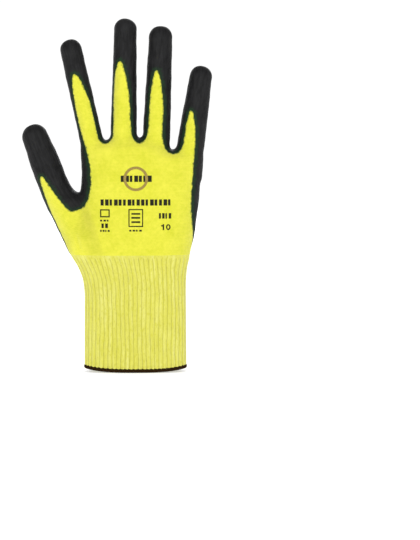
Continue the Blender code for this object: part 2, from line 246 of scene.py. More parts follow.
# Where the limbs' knit is parted from the hand's, and how far the knit bends round each knuckle
LIMB_CUTS = {"index": -9.0, "middle": -9.0, "ring": -8.5, "little": -6.5, "thumb": -9.5}
THUMB_BEND_START = -4.5
BEND_REACH = 11.0

# Print on the back; rows of dashes are left, bottom, right, top, count and share of the pitch
INK = 0.09
RING_INK = 0.16
PRINT_CELL = 1.2
DASH_UNEVEN = 0.16
DASH_ROWS = (
    (-10.9, 143.7, 12.7, 148.4, 7, 0.72),
    (-26.0, 126.0, 27.8, 130.6, 16, 0.68),
    (-26.4, 114.1, -18.8, 115.4, 3, 0.62),
    (-26.4, 106.4, -18.8, 107.8, 4, 0.62),
    (-25.4, 109.2, -19.8, 112.6, 2, 0.62),
    (-4.6, 106.6, 5.4, 107.9, 4, 0.62),
    (17.6, 116.2, 27.4, 120.3, 4, 0.62),
)
PRINT_FRAMES = ((-26.4, 117.2, -19.2, 123.2, 0.9), (-5.2, 110.0, 5.8, 123.4, 0.8))
FRAMED_BARS = ((-3.0, 113.0, 3.6, 114.3), (-3.0, 116.2, 3.6, 117.5), (-3.0, 119.2, 3.6, 120.4))
# The size, a generic 10: a stem with its flag, and a ring
NUMERAL_ONE = ((20.4, 107.6, 21.5, 112.0), (19.3, 110.3, 20.4, 111.3))
NUMERAL_ZERO = (24.6, 109.8, (1.7, 2.2), 0.95)
EMBLEM_RING = (0.3, 146.0, (9.2, 9.2), 2.0)

# Screen colours
# Light and dark yarn of the knit and the cuff, mixed by random tone and by the stitches' height, which
# paints shade between the stitches
KNIT_LIGHT, KNIT_DARK = (239, 234, 74), (206, 210, 28)
RIB_LIGHT, RIB_DARK = (226, 223, 98), (211, 208, 76)
# The first of these is painted shade in the grooves between the ribs; the pale and deep ones are the yarn's
# own streaks and flecks
RIB_GROOVE_SHADE, RIB_PALE, RIB_DEEP = (188, 183, 66), (233, 231, 132), (208, 205, 66)
PALM_RIB = (244, 228, 62)
STAIN = (62, 80, 34)
# The first colour is painted shade for the dip lying in the grooves between the cuff's ribs
DIP_GROOVE_SHADE = (4, 4, 5)
DIP_LIGHT, DIP_DARK, DIP_EDGE, DIP_FUZZ = (33, 33, 34), (12, 12, 13), (23, 48, 26), (76, 96, 36)
# Thread colours: the light ones go on the strands as painted highlight, the dark ones between them as
# painted shade
HEM_LIGHT, HEM_DARK = (50, 31, 9), (15, 8, 2)
ELASTIC_LIGHT, ELASTIC_DARK = (236, 233, 210), (170, 166, 130)
INK_LIGHT, INK_DARK = (48, 48, 26), (18, 19, 10)
TAN_LIGHT, TAN_DARK = (172, 150, 76), (138, 118, 62)

# Camera, light and floor, in metres and degrees
CAMERA_DISTANCE = 2.5
CAMERA_ELEVATION = 3.0
FRAME_CENTRE = (0.05625, 0.0, 0.0765)
FRAME_HEIGHT = 0.4065
WORLD_LIGHT = 0.62
BACKDROP_LIGHT = 1.05
FLOOR_GLOW = 0.48
FLOOR_TONE = 0.93
FLOOR_REACH = 8.0
LIGHT_TARGET = (0.0, 0.0, 0.13)
# Name, place, diameter and power of each soft light; the palm and back get the same light
LIGHTS = (
    ("key_back", (-0.5, -1.9, 0.9), 1.1, 12.5),
    ("fill_back", (1.0, -1.7, 0.5), 1.1, 5.0),
    ("key_palm", (0.5, 1.9, 0.9), 1.1, 12.5),
    ("fill_palm", (-1.0, 1.7, 0.5), 1.1, 5.0),
)

# Meshing
OUTLINE_SAMPLES = 1440
OUTLINE_REACH = 0.4
NET_BATCHES = 16
NET_STEP = 1.0
NET_MARGIN = 3.0
NET_FLOOR = 84.0
CUFF_TOP = 88.5


def smoothstep(t):
    t = np.clip(t, 0.0, 1.0)
    return t * t * (3.0 - 2.0 * t)


def smooth_min(a, b, reach):
    near = np.maximum(reach - np.abs(a - b), 0.0) / reach
    return np.minimum(a, b) - near * near * reach * 0.25


def blurred(rows):
    """Columns of a table, resampled at even steps of its first column and smoothed."""
    rows = np.array(rows)
    tail = 4 * PROFILE_BLUR
    at = np.arange(rows[0, 0] - tail, rows[-1, 0] + tail, PROFILE_STEP)
    reach = int(tail / PROFILE_STEP)
    kernel = np.exp(-0.5 * (np.arange(-reach, reach + 1) * PROFILE_STEP / PROFILE_BLUR) ** 2)
    kernel /= kernel.sum()
    columns = []
    for column in rows.T[1:]:
        values = np.pad(np.interp(at, rows[:, 0], column), reach, mode="edge")
        columns.append(np.convolve(values, kernel, "valid"))
    return at, columns


def norm_distance(power, *pairs):
    """About how far a point is outside a superellipsoid, from (offset, radius) pairs."""
    terms = [(np.abs(offset) / radius, radius) for offset, radius in pairs]
    total = sum(share ** power for share, _ in terms)
    k = np.maximum(total ** (1.0 / power), 1e-3)
    slope = sum((share ** (power - 1.0) / radius) ** 2 for share, radius in terms)
    slope = np.maximum(np.sqrt(slope) * k ** (1.0 - power), 1e-4)
    return (k - 1.0) / slope


class Limb:
    """A finger or the thumb: its axis and knuckles come from the frame, its girth from above."""

    def __init__(self, name):
        self.name = name
        self.parts = ("base", "tip") if name == "thumb" else ("base", "mid", "tip")
        knuckles = [joint for joint in frame["joints"] if joint["child"].startswith(name + "_")]
        knuckles.sort(key=lambda joint: self.parts.index(joint["child"].split("_")[1]))
        hinge = knuckles[0]["axis"]
        self.along = np.array((hinge[2], 0.0, -hinge[0]))
        self.across = np.array((-hinge[0], 0.0, -hinge[2]))
        points = [np.array(joint["pos_m"]) / MM for joint in knuckles]
        self.root = points[0] * (1.0, 0.0, 1.0)
        self.knuckles = [float((point - self.root) @ self.along) for point in points]
        root_width, middle_width, tip_width = STALL_HALF_WIDTHS[name]
        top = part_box(name + "_tip_stall")[1].z / MM
        self.dome = tip_width
        self.dome_start = (top - tip_width - self.root[2]) / self.along[2]
        rows = [(-STALL_BELOW_ROOT, root_width, 0.0, 0.0)]
        if name == "thumb":
            rows = list(THUMB_BALL)
        rows.append((0.0, root_width, 0.0, 0.0))
        rows.append((self.dome_start / 2.0, middle_width, 0.0, 0.0))
        rows.append((self.dome_start, tip_width, 0.0, 0.0))
        self.start = rows[0][0]
        self.stations, self.columns = blurred(rows)
        self.columns.append(np.gradient(self.columns[1], self.stations))

    def local(self, p):
        """Station along the limb, sideways and depthways offsets, and half width there."""
        q = p - self.root
        station = q @ self.along
        width, offset, shift, slope = (np.interp(station, self.stations, column)
                                       for column in self.columns)
        side = (q @ self.across - offset) / np.sqrt(1.0 + slope * slope)
        return station, side, p[:, 1] - shift, width

    def field(self, p):
        station, side, depth, width = self.local(p)
        beyond = np.maximum(station - self.dome_start, 0.0)
        below = np.maximum(self.start - station, 0.0)
        return norm_distance(STALL_POWER, (side, width), (depth, width * STALL_DEPTH_SHARE),
                             (beyond, self.dome), (below, THUMB_CAP))


class Hand:
    """The hand tube from the wrist opening to the webs."""

    def __init__(self):
        self.heights, self.columns = blurred(HAND_PROFILE)

    def section(self, z):
        """Middle, half width and half depth at heights."""
        left, right, depth = (np.interp(z, self.heights, column) for column in self.columns)
        return (left + right) / 2.0, (right - left) / 2.0, depth

    def field(self, p):
        centre, width, depth = self.section(p[:, 2])
        drop = WEB_DROP * smoothstep((p[:, 0] - WEB_DROP_FROM) / (WEB_DROP_TO - WEB_DROP_FROM))
        above = np.maximum(p[:, 2] - (WEB_HEIGHT - drop - WEB_ROUNDING), 0.0)
        return norm_distance(HAND_POWER, (p[:, 0] - centre, width), (p[:, 1], depth),
                             (above, WEB_ROUNDING))


HAND = Hand()
LIMBS = [Limb(name) for name in STALL_HALF_WIDTHS]


def waves(p, rows):
    """The sum of sine waves at points, from rows of height, three slopes and phase."""
    return sum(height * np.sin(p @ slopes + phase) for height, *slopes, phase in rows)


def crease(p):
    """Depth of the soft fold in the back of the knit between the thumb and the cuff."""
    (top_x, top_z), (foot_x, foot_z) = CREASE_ENDS
    share = (top_z - p[:, 2]) / (top_z - foot_z)
    middle = top_x + (foot_x - top_x) * share
    across = np.exp(-((p[:, 0] - middle) / CREASE_WIDTH) ** 2)
    along = smoothstep(share / CREASE_EASE[0]) * smoothstep((1.0 - share) / CREASE_EASE[1])
    return CREASE_DEPTH * across * along * (p[:, 1] < 0.0)


def glove_field(p):
    """Below zero inside the knit's outer surface, above zero outside it."""
    total = HAND.field(p)
    for limb in LIMBS:
        value = limb.field(p)
        melt = WEB_MELT
        if limb.name == "thumb":
            melt = THUMB_MELT
            value = value + THUMB_FADE_RATE * np.maximum(THUMB_FADE_HEIGHT - p[:, 2], 0.0) ** 2
        total = smooth_min(total, value, melt)
    fade = smoothstep((p[:, 2] - CUFF_TOP) / RIPPLE_FADE)
    return total - waves(p, RIPPLE_WAVES) * fade + crease(p)


def gradient(p, reach=0.05):
    columns = []
    for axis in range(3):
        step = np.zeros(3)
        step[axis] = reach
        columns.append((glove_field(p + step) - glove_field(p - step)) / (2.0 * reach))
    return np.stack(columns, axis=1)


def settle(p, rounds=3):
    """Moves points onto the knit's outer surface, and returns them with its normals there."""
    for _ in range(rounds):
        slope = gradient(p)
        p = p - slope * (glove_field(p) / (slope * slope).sum(1))[:, None]
    slope = gradient(p)
    return p, slope / np.linalg.norm(slope, axis=1)[:, None]


def surface_net(field, low, high, step):
    """Vertices and quads on the surface where the field is zero, one vertex to a crossed cell."""
    axes = [np.arange(a, b + step, step) for a, b in zip(low, high)]
    grid = np.stack(np.meshgrid(*axes, indexing="ij"), axis=-1)
    batches = np.array_split(grid.reshape(-1, 3), NET_BATCHES)
    values = np.concatenate([field(batch) for batch in batches]).reshape(grid.shape[:3])
    cells = tuple(n - 1 for n in values.shape)

    def corner(array, offset):
        return array[tuple(slice(o, o + n) for o, n in zip(offset, cells))]

    total = np.zeros(cells + (3,))
    count = np.zeros(cells)
    for axis in range(3):
        for pair in itertools.product((0, 1), repeat=2):
            start = list(pair)
            start.insert(axis, 0)
            end = list(start)
            end[axis] = 1
            a, b = corner(values, start), corner(values, end)
            crossed = (a < 0.0) != (b < 0.0)
            share = np.where(crossed, a / np.where(crossed, a - b, 1.0), 0.0)
            spot = np.array(start, float) + share[..., None] * np.eye(3)[axis]
            total += np.where(crossed[..., None], spot, 0.0)
            count += crossed
    used = count > 0
    index = np.full(cells, -1)
    index[used] = np.arange(used.sum())
    points = np.array(low) + (np.argwhere(used) + total[used] / count[used][:, None]) * step
    quads = []
    for axis in range(3):
        others = [k for k in range(3) if k != axis]
        change = np.diff((values < 0.0).astype(int), axis=axis)
        where = np.argwhere(change)
        where = where[(where[:, others] > 0).all(axis=1)]
        forward = (change[tuple(where.T)] < 0) != (axis == 1)
        corners = []
        for shift in ((1, 1), (0, 1), (0, 0), (1, 0)):
            cell = where.copy()
            cell[:, others] -= shift
            corners.append(index[tuple(cell.T)])
        corners = np.stack(corners, axis=1)
        quads.append(np.where(forward[:, None], corners, corners[:, ::-1]))
    return points, np.concatenate(quads)


def relaxed(points, quads, rounds):
    """Evens out the spacing of the vertices along the surface."""
    pairs = np.concatenate([quads[:, [k, (k + 1) % 4]] for k in range(4)])
    for _ in range(rounds):
        total = np.zeros_like(points)
        count = np.zeros(len(points))
        for a, b in (pairs.T, pairs.T[::-1]):
            np.add.at(total, a, points[b])
            np.add.at(count, a, 1.0)
        points = 0.5 * points + 0.5 * total / count[:, None]
        points, _ = settle(points, 1)
    return points


class Form:
    """One surface that is cut up along scalar fields. Faces are rows of 4 points, -1 for none."""

    def __init__(self, points, faces):
        self.points = points
        self.faces = faces

    def split(self, faces, values, snap=0.08):
        """Cuts faces where values is zero, and returns those above zero and those below it."""
        values = np.where(np.abs(values) < snap, 0.0, values)
        corner = np.where(faces >= 0, values[faces], np.nan)
        low, high = np.nanmin(corner, axis=1), np.nanmax(corner, axis=1)
        above = [faces[low >= 0.0]]
        below = [faces[(high <= 0.0) & (low < 0.0)]]
        crossing = faces[(low < 0.0) & (high > 0.0)]
        made, added = {}, []

        def between(a, b):
            key = (min(a, b), max(a, b))
            if key not in made:
                share = values[key[0]] / (values[key[0]] - values[key[1]])
                made[key] = len(self.points) + len(added)
                added.append(self.points[key[0]] * (1.0 - share) + self.points[key[1]] * share)
            return made[key]

        pieces = {1: [], -1: []}
        for face in crossing.tolist():
            ring = [point for point in face if point >= 0]
            for sign in (1, -1):
                kept = []
                for a, b in zip(ring, ring[1:] + ring[:1]):
                    if values[a] * sign >= 0.0:
                        kept.append(a)
                    if values[a] * values[b] < 0.0:
                        kept.append(between(a, b))
                for first in range(1, len(kept) - 1, 2):
                    part = [kept[0]] + kept[first:first + 3]
                    pieces[sign].append(part + [-1] * (4 - len(part)))
        if added:
            self.points = np.concatenate([self.points, np.array(added)])
        for sign, side in ((1, above), (-1, below)):
            if pieces[sign]:
                side.append(np.array(pieces[sign]))
        return np.concatenate(above), np.concatenate(below)


def smoothed_ring(points, rounds=2):
    """Cuts the corners of a closed outline."""
    points = np.array(points)
    for _ in range(rounds):
        following = np.roll(points, -1, axis=0)
        points = np.stack([0.75 * points + 0.25 * following, 0.25 * points + 0.75 * following], 1)
        points = points.reshape(-1, 2)
    return points


WINDOW_RING = smoothed_ring(BACK_WINDOW)


def outside_window(x, z):
    """Distance from the window of bare knit on the back, below zero inside it."""
    p = np.stack([x, z], axis=1)
    nearest = np.full(len(p), np.inf)
    inside = np.zeros(len(p), bool)
    for a, b in zip(WINDOW_RING, np.roll(WINDOW_RING, -1, axis=0)):
        edge, to_point = b - a, p - a
        share = np.clip(to_point @ edge / (edge @ edge), 0.0, 1.0)
        nearest = np.minimum(nearest, np.linalg.norm(to_point - share[:, None] * edge, axis=1))
        spans = (a[1] > z) != (b[1] > z)
        if a[1] != b[1]:
            inside ^= spans & (x < a[0] + edge[0] * (z - a[1]) / edge[1])
    return np.where(inside, -nearest, nearest)


def palm_edge_height(x):
    low_x, low_z = PALM_EDGE_LOW
    to_thumb = np.maximum(low_x - x, 0.0) / (low_x + PALM_EDGE_REACH)
    to_little = np.maximum(x - low_x, 0.0) / (PALM_EDGE_REACH - low_x)
    return (low_z + PALM_EDGE_RISE[0] * to_thumb ** PALM_EDGE_POWERS[0]
            + PALM_EDGE_RISE[1] * to_little ** PALM_EDGE_POWERS[1])


def coating_reach(p):
    """How far a point of the surface is inside the dipped area, below zero where the knit is bare."""
    x, y, z = p.T
    by_thumb, by_little = (smoothstep((z - low) / (high - low)) for low, high in SIDE_EDGE_CHANGE)
    on_cuff, on_hand = SIDE_EDGE_DEPTHS
    side_edge = on_cuff + (on_hand - on_cuff) * np.where(x < 0.0, by_thumb, by_little)
    palm = np.minimum(z - palm_edge_height(x), y - side_edge)
    window = outside_window(x, z) - WINDOW_GROW
    wrap = SIDE_WRAP * np.maximum(y - SIDE_WRAP_FROM, 0.0) * smoothstep(window + 1.0)
    back = window + waves(p, FRINGE_WAVES) + wrap
    return -smooth_min(-palm, -back, EDGE_ROUNDING)


def knit_coordinates(p):
    """Wale and course numbers at points of the surface; stalls have their own, eased in."""
    centre, width, depth = HAND.section(p[:, 2])
    t = np.clip((p[:, 0] - centre) / width, -1.0, 1.0)
    across = centre + width * t + KNIT_WRAP * depth * np.abs(t) ** KNIT_WRAP_POWER * np.sign(t)
    along = p[:, 2].copy()
    values = np.array([HAND.field(p)] + [limb.field(p) for limb in LIMBS])
    for index, limb in enumerate(LIMBS, 1):
        station, side, _, limb_width = limb.local(p)
        own = limb.root[0] + limb_width * np.arcsin(np.clip(side / limb_width, -1.0, 1.0))
        rival = np.delete(values, index, axis=0).min(axis=0)
        share = smoothstep((rival - values[index] + KNIT_EASE / 2.0) / KNIT_EASE)
        across = across + (own - across) * share
        along = along + (limb.root[2] + station - along) * share
    return np.stack([across / WALE, along / COURSE, np.zeros(len(p))], axis=1)


def add_object(name, data):
    obj = bpy.data.objects.new(name, data)
    bpy.context.scene.collection.objects.link(obj)
    return obj


def make_object(name, points, faces, loop_normals=None):
    """A mesh object from millimetre points and lists of corners."""
    mesh = bpy.data.meshes.new(name)
    mesh.from_pydata((points * MM).tolist(), [], faces)
    mesh.polygons.foreach_set("use_smooth", np.ones(len(faces), bool))
    if loop_normals is not None:
        mesh.normals_split_custom_set(loop_normals.tolist())
    return add_object(name, mesh)


def set_attribute(obj, name, values):
    kind, key = ("FLOAT_VECTOR", "vector") if values.ndim == 2 else ("FLOAT", "value")
    attribute = obj.data.attributes.new(name, kind, "POINT")
    attribute.data.foreach_set(key, values.astype(np.float32).ravel())


def shell_parts(outer, inner, normals, faces):
    """Points, faces and corner normals of a closed shell between two surfaces, edges included."""
    used = np.unique(faces[faces >= 0])
    place = np.full(len(outer), -1)
    place[used] = np.arange(len(used))
    count = len(used)
    local = np.where(faces >= 0, place[faces], -1)
    front = [[k for k in face if k >= 0] for face in local.tolist()]
    back = [[k + count for k in reversed(face)] for face in front]
    edges = {(a, b) for face in front for a, b in zip(face, face[1:] + face[:1])}
    rim = [[b, a, a + count, b + count] for a, b in sorted(edges) if (b, a) not in edges]
    points = np.concatenate([outer[used], inner[used]])
    normal = np.concatenate([normals[used], -normals[used]])
    corners = np.array(list(itertools.chain.from_iterable(front + back)))
    loop_normals = normal[corners]
    if rim:
        quad = points[np.array(rim)]
        flat = np.cross(quad[:, 2] - quad[:, 0], quad[:, 3] - quad[:, 1])
        flat /= np.maximum(np.linalg.norm(flat, axis=1), 1e-9)[:, None]
        loop_normals = np.concatenate([loop_normals, np.repeat(flat, 4, axis=0)])
    return points, front + back + rim, loop_normals, used


def make_shell(name, *sheets):
    """One object of closed shells. A sheet is (outer, inner, normals, faces, attributes)."""
    points, faces, corner_normals, columns = [], [], [], {}
    start = 0
    for outer, inner, normals, sheet_faces, attributes in sheets:
        part, corners, loop_normals, used = shell_parts(outer, inner, normals, sheet_faces)
        points.append(part)
        faces += [[corner + start for corner in face] for face in corners]
        corner_normals.append(loop_normals)
        for key, values in attributes.items():
            columns.setdefault(key, []).extend((values[used], values[used]))
        start += len(part)
    obj = make_object(name, np.concatenate(points), faces, np.concatenate(corner_normals))
    for key, values in columns.items():
        set_attribute(obj, key, np.concatenate(values))
    return obj


# Ribbed cuff, hem and elastic

def rise_at_sides(x):
    """How much higher the cuff's end lies towards its two side edges."""
    return HEM_RISE * np.minimum(np.abs(x) / HEM_RISE_REACH, 1.0) ** 3.0


def outline(z, shares):
    """Points and outward normals at shares of the hand tube's outline, from the thumb side round
    the back."""
    centre, width, depth = HAND.section(z)
    angle = np.linspace(0.0, 2.0 * np.pi, OUTLINE_SAMPLES + 1)
    c, s = np.cos(angle), np.sin(angle)
    x = centre - width * np.sign(c) * np.abs(c) ** (2.0 / HAND_POWER)
    y = -depth * np.sign(s) * np.abs(s) ** (2.0 / HAND_POWER)
    length = np.concatenate([[0.0], np.cumsum(np.hypot(np.diff(x), np.diff(y)))])

    def place_at(travel):
        return np.stack([np.interp(travel % length[-1], length, column) for column in (x, y)])

    at = shares * length[-1]
    tangent = place_at(at + OUTLINE_REACH) - place_at(at - OUTLINE_REACH)
    tangent /= np.linalg.norm(tangent, axis=0)
    points = np.column_stack([*place_at(at), np.full(len(at), z)])
    return points, np.column_stack([tangent[1], -tangent[0], np.zeros(len(at))])


def grid_faces(rows, columns, close_rows=False):
    """Quads of a grid whose columns wrap round, and whose rows do too if they close."""
    row, column = np.meshgrid(np.arange(rows if close_rows else rows - 1), np.arange(columns),
                              indexing="ij")
    above, beside = (row + 1) % rows, (column + 1) % columns
    corners = [row * columns + column, row * columns + beside, above * columns + beside,
               above * columns + column]
    return np.stack(corners, axis=-1).reshape(-1, 4)


def grid_normals(points, rows, columns):
    grid = points.reshape(rows, columns, 3)
    around = np.roll(grid, -1, axis=1) - np.roll(grid, 1, axis=1)
    upward = np.gradient(grid, axis=0)
    normals = np.cross(around, upward).reshape(-1, 3)
    return normals / np.linalg.norm(normals, axis=1)[:, None]


def rib_wave(wave, z, around, phase):
    height, slope, count = wave
    return height * np.sin(slope * z + count * around + phase)


def ribbed_surface():
    """The cuff's outer surface as rows of numbers (see rib_columns), and its faces."""
    random = np.random.default_rng(7)
    columns = RIBS * RIB_COLUMNS
    heights = np.linspace(CUFF_FOOT, CUFF_TOP, int((CUFF_TOP - CUFF_FOOT) / CUFF_ROW) + 1)
    rib = np.arange(columns) / RIB_COLUMNS
    around = 2.0 * np.pi * rib / RIBS
    strength = np.repeat(1.0 + RIB_SPREAD * random.standard_normal(RIBS), RIB_COLUMNS)
    *drift_phases, uneven_phase = 2.0 * np.pi * random.random(3)
    ridge = np.abs(np.cos(np.pi * rib))
    rows = []
    for z in heights:
        drift = sum(rib_wave(wave, z, around, phase)
                    for wave, phase in zip(RIB_DRIFTS, drift_phases))
        points, outward = outline(z, (rib + drift) / RIBS)
        to_palm = smoothstep(points[:, 1] / PALM_SIDE_REACH + 0.5)
        fade = smoothstep((CUFF_TOP - z) / (RIB_FADE + (RIB_PALM_FADE - RIB_FADE) * to_palm))
        uneven = 1.0 + rib_wave(RIB_UNEVEN, z, around, uneven_phase)
        depth = RIB_RELIEF * (1.0 - ridge) * np.clip(strength * uneven, *RIB_STRENGTHS)
        points = points + outward * ((RIB_CREST - depth) * fade)[:, None]
        points[:, 2] += rise_at_sides(points[:, 0]) * smoothstep(1.0 - z / HEM_RISE_FADE)
        knit = np.stack([2.0 * rib, np.full(columns, z / COURSE), np.zeros(columns)], axis=1)
        wave = RIB_EDGE_WAVE * (ridge - 0.5) * fade
        fill = RIB_FILL * (1.0 - ridge) * fade
        crest = 1.0 - (1.0 - ridge) * fade
        rows.append(np.column_stack([points, outward, knit, crest, wave, fill]))
    table = np.concatenate(rows)
    normals = grid_normals(table[:, :3], len(heights), columns)
    return np.concatenate([table, normals], axis=1), grid_faces(len(heights), columns)


def rib_columns(table):
    """What a ribbed surface's rows hold: places, outward directions, knit coordinates, height of
    the rib, depth inside the dip, how far the dip fills the groove, and normals."""
    points, outward, knit, rib, wave, fill, normals = np.split(table, [3, 6, 9, 10, 11, 12], 1)
    reach = coating_reach(points) + wave[:, 0]
    return points, outward, {"knit": knit, "rib": rib[:, 0], "coat": reach}, fill, normals


def cuff_sheet(table, faces):
    points, outward, attributes, _, normals = rib_columns(table)
    return points, points - outward * CUFF_WALL, normals, faces, attributes


def cuff_dip_sheet(table, faces):
    """The part of the palm's coating that runs down over the ribs."""
    form = Form(table, faces)
    kept, _ = form.split(faces, rib_columns(table)[2]["coat"])
    points, outward, attributes, fill, normals = rib_columns(form.points)
    lift = coating_lift(attributes["coat"])[:, None] + fill * smoothstep(attributes["coat"])[:, None]
    return points + outward * lift, points - outward * COATING_SUNK, normals, kept, attributes


def strands(turns, sides):
    """Height of a thread wound round a tube, from 0 between its turns to 1 on them."""
    angle = 2.0 * np.pi * np.arange(sides) / sides
    return np.abs(np.cos(np.pi * turns[:, None] + 0.5 * angle)) ** STRAND_POWER


def make_swept(name, spine, outward, upward, half_sizes, relief, closed):
    """A tube round a spine, with its relief at each place along it and round it."""
    columns = relief.shape[1]
    angle = 2.0 * np.pi * np.arange(columns) / columns
    out = (half_sizes[0] + relief) * np.cos(angle)
    up = (half_sizes[1] + relief) * np.sin(angle)
    points = spine[:, None] + outward[:, None] * out[..., None] + upward[:, None] * up[..., None]
    rows = len(spine)
    faces = grid_faces(rows, columns, closed)[:, ::-1].tolist()
    if not closed:
        faces += [list(range(columns)), list(range((rows - 1) * columns, rows * columns))[::-1]]
    return make_object(name, points.reshape(-1, 3), faces)


def make_hem():
    """The overlocked edge: thread loops slant round the cuff's end, side by side."""
    count = HEM_LOOPS * HEM_LOOP_STEPS
    shares = np.arange(count) / count
    spine, outward = outline(HEM_MIDDLE, shares)
    spine = spine + outward * (RIB_CREST - CUFF_WALL / 2.0)
    spine[:, 2] += rise_at_sides(spine[:, 0])
    strand = strands(HEM_LOOPS * shares, HEM_SIDES)
    upward = np.tile((0.0, 0.0, 1.0), (count, 1))
    sizes = (HEM_HALF_THICKNESS - HEM_LOOP_RELIEF, HEM_HALF_HEIGHT - HEM_LOOP_RELIEF)
    hem = make_swept("overlock_hem", spine, outward, upward, sizes, HEM_LOOP_RELIEF * strand, True)
    set_attribute(hem, "rib", strand.ravel())
    return hem


def make_elastic():
    """One covered elastic yarn that winds up inside the cuff, where the frame holds its space."""
    low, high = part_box("cuff_elastic")
    bottom, top = low.z / MM + ELASTIC_RADIUS, high.z / MM - ELASTIC_RADIUS
    turns = np.linspace(0.0, ELASTIC_TURNS, ELASTIC_TURNS * ELASTIC_STEPS + 1)
    rings = [outline(bottom + (top - bottom) * turn / ELASTIC_TURNS, np.array([turn + 0.5]))
             for turn in turns]
    spine, outward = (np.array([ring[k][0] for ring in rings]) for k in (0, 1))
    spine = spine - outward * ELASTIC_INSET
    upward = np.cross(outward, np.gradient(spine, axis=0))
    upward /= np.linalg.norm(upward, axis=1)[:, None]
    wrap = strands(np.arange(len(turns)) / ELASTIC_WRAP_STEPS, ELASTIC_SIDES)
    yarn = make_swept("elastic_yarn_coil", spine, outward, upward,
                      (ELASTIC_RADIUS, ELASTIC_RADIUS), -ELASTIC_RELIEF * (1.0 - wrap), False)
    set_attribute(yarn, "rib", wrap.ravel())
    return yarn


# Liner and coating of the hand and stalls

def coating_lift(reach):
    """How far the coating stands proud: its edge thins out into the knit."""
    return COATING_EDGE + (COATING - COATING_EDGE) * smoothstep(reach / COATING_SLOPE)


def net_of_glove():
    """Points and quads on the knit's outer surface above the cuff."""
    low = [min(value, 0.0) / MM - NET_MARGIN for value in cad_low]
    low[2] = NET_FLOOR
    high = [value / MM + NET_MARGIN for value in cad_high]
    points, quads = surface_net(glove_field, low, high, NET_STEP)
    points, _ = settle(points)
    return relaxed(points, quads, 2), quads


def limb_share(limb, points):
    """Above zero where the limb is the nearest of all limbs and above its cut from the hand."""
    own = limb.field(points)
    value = limb.local(points)[0] - LIMB_CUTS[limb.name]
    others = [other.field for other in LIMBS if other is not limb]
    if limb.name == "thumb":
        others.append(HAND.field)
    for other in others:
        value = np.minimum(value, other(points) - own)
    return value


class Glove:
    """The knit form above the cuff, cut into the patches that its bodies carry."""

    def __init__(self):
        self.form = Form(*net_of_glove())
        rest, _ = self.form.split(self.form.faces, self.form.points[:, 2] - CUFF_TOP)
        self.patches = {}
        for limb in LIMBS:
            faces, rest = self.form.split(rest, limb_share(limb, self.form.points))
            for part, knuckle, following in zip(limb.parts, limb.knuckles, limb.knuckles[1:]):
                station = limb.local(self.form.points)[0]
                faces, own = self.form.split(faces, station - (knuckle + following) / 2.0)
                self.patches[limb.name + "_" + part] = own
            self.patches[limb.name + "_" + limb.parts[-1]] = faces
        self.patches["hand"] = rest
        self.form.points, _ = settle(self.form.points, 1)
        reach = coating_reach(self.form.points)
        self.dips = {}
        for name, faces in self.patches.items():
            values = np.concatenate([reach, np.zeros(len(self.form.points) - len(reach))])
            self.dips[name], _ = self.form.split(faces, values)
        self.points, self.normals = settle(self.form.points, 1)
        self.attributes = {"knit": knit_coordinates(self.points),
                           "rib": np.ones(len(self.points)),
                           "coat": coating_reach(self.points)}

    def knit_sheet(self, patch):
        inner = self.points - self.normals * LINER_WALL
        return self.points, inner, self.normals, self.patches[patch], self.attributes

    def dip_sheet(self, patch):
        lift = coating_lift(self.attributes["coat"])[:, None]
        outer = self.points + self.normals * lift
        inner = self.points - self.normals * COATING_SUNK
        return outer, inner, self.normals, self.dips[patch], self.attributes


# Print on the back of the hand

def bar(left, bottom, right, top):
    """Points and quads of a plain bar, in cells small enough to follow the back of the hand."""
    across = np.linspace(left, right, max(2, math.ceil((right - left) / PRINT_CELL) + 1))
    up = np.linspace(bottom, top, max(2, math.ceil((top - bottom) / PRINT_CELL) + 1))
    x, z = np.meshgrid(across, up)
    row, column = np.meshgrid(np.arange(len(up) - 1), np.arange(len(across) - 1), indexing="ij")
    first = row * len(across) + column
    corners = [first, first + 1, first + len(across) + 1, first + len(across)]
    return np.stack([x.ravel(), z.ravel()], 1), np.stack(corners, -1).reshape(-1, 4)


def ring(x, z, radii, stroke, sides=40):
    """Points and quads of an upright elliptical ring."""
    angle = 2.0 * np.pi * np.arange(sides) / sides
    circle = np.stack([np.cos(angle), np.sin(angle)], axis=1)
    points = [circle * (np.array(radii) - inset) + (x, z) for inset in (stroke, stroke / 2.0, 0.0)]
    return np.concatenate(points), grid_faces(3, sides)[:, ::-1]


def frame_bars(left, bottom, right, top, stroke):
    """Four bars round a box."""
    return [bar(left, bottom, right, bottom + stroke), bar(left, top - stroke, right, top),
            bar(left, bottom + stroke, left + stroke, top - stroke),
            bar(right - stroke, bottom + stroke, right, top - stroke)]


def dash_row(left, bottom, right, top, count, fill):
    """A row of plain dashes, of uneven widths, in place of a line of lettering."""
    edges = np.linspace(left, right, count + 1)
    sizes = fill + DASH_UNEVEN * np.sin(2.4 * np.arange(count))
    pitch = edges[1] - edges[0]
    return [bar(edge, bottom, edge + pitch * size, top) for edge, size in zip(edges, sizes)]


def print_marks():
    """All dark marks: dashes for lettering, two frames with bars, and the size."""
    marks = [mark for row in DASH_ROWS for mark in dash_row(*row)]
    marks += [mark for sides in PRINT_FRAMES for mark in frame_bars(*sides)]
    marks += [bar(*sides) for sides in FRAMED_BARS + NUMERAL_ONE]
    return marks + [ring(*NUMERAL_ZERO)]


def print_sheet(marks, ink):
    """Lays flat marks on the back of the hand as closed films, as thick as their ink."""
    starts = np.cumsum([0] + [len(points) for points, _ in marks])
    faces = np.concatenate([faces + start for (_, faces), start in zip(marks, starts)])
    flat = np.concatenate([points for points, _ in marks])
    p = np.stack([flat[:, 0], np.full(len(flat), -HAND.section(flat[:, 1])[2]), flat[:, 1]], 1)
    for _ in range(4):
        p[:, 1] -= glove_field(p) / gradient(p)[:, 1]
    _, normals = settle(p, 0)
    return p + normals * ink, p - normals * ink, normals, faces, {}


# Materials

